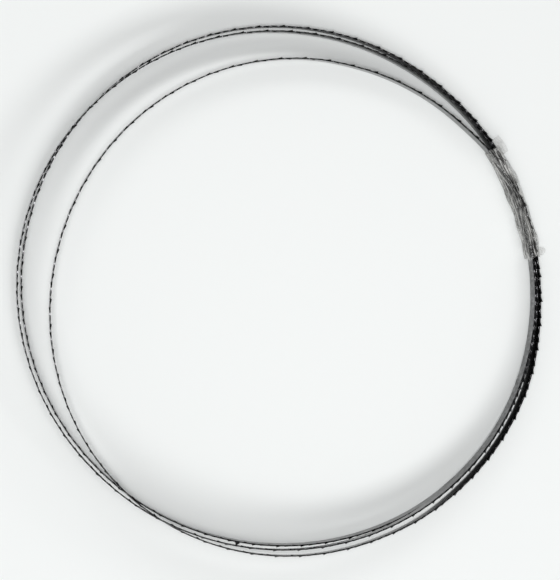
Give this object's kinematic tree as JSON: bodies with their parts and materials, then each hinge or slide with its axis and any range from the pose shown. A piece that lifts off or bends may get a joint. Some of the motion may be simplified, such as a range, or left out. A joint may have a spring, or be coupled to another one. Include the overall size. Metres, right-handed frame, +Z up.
{
  "type": "band saw blade",
  "caption": "Welded toothed steel band for a band saw, folded into a compact coil of overlapping loops and held by wraps of clear adhesive tape.",
  "frame": {"origin": "middle of the bounding box in plan, at the base: on the plane the lowest loop's back edge lies on", "axes": "+Z up, from the band's back edge to its tooth tips; +X towards the taped side, with the wraps at 7 to 34 degrees from +X; +Y is the top of the picture. The teeth point clockwise seen from above"},
  "size_m": [0.2768, 0.273, 0.0423],
  "materials": {
    "hardened_steel": "dark, oiled, rolled steel strip",
    "clear_film": "clear, crinkled adhesive film"
  },
  "bodies": {
    "root": {"blade": "hardened_steel", "tape_lower_wrap": "clear_film", "tape_upper_wrap": "clear_film"}
  },
  "joints": []
}
